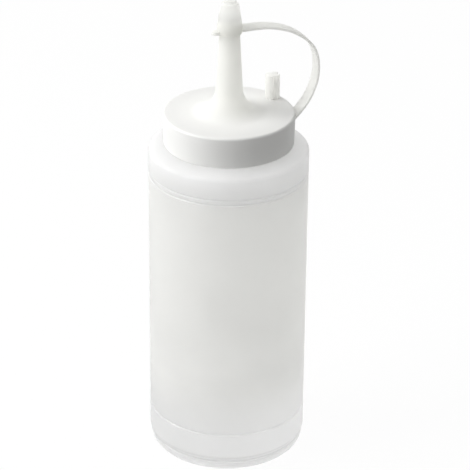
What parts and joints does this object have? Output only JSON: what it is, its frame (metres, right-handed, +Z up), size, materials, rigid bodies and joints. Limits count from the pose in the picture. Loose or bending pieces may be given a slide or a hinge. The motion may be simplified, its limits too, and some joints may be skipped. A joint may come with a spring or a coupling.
{
  "type": "decorating squeeze bottle",
  "caption": "Round translucent squeeze bottle with a screw-on closure, a tall tapered nozzle, a parking peg and a tip cap on a looped strap.",
  "frame": {"origin": "centre of the flat base, on the bottle's axis", "axes": "+Z up along the bottle's axis, +X towards the strap's loop"},
  "size_m": [0.0594, 0.055, 0.167],
  "materials": {
    "bottle": "satin translucent",
    "closure": "satin",
    "tip_cap": "satin"
  },
  "bodies": {
    "root": {"bottle": "bottle", "closure": "closure", "tip_cap": "tip_cap"}
  },
  "joints": []
}
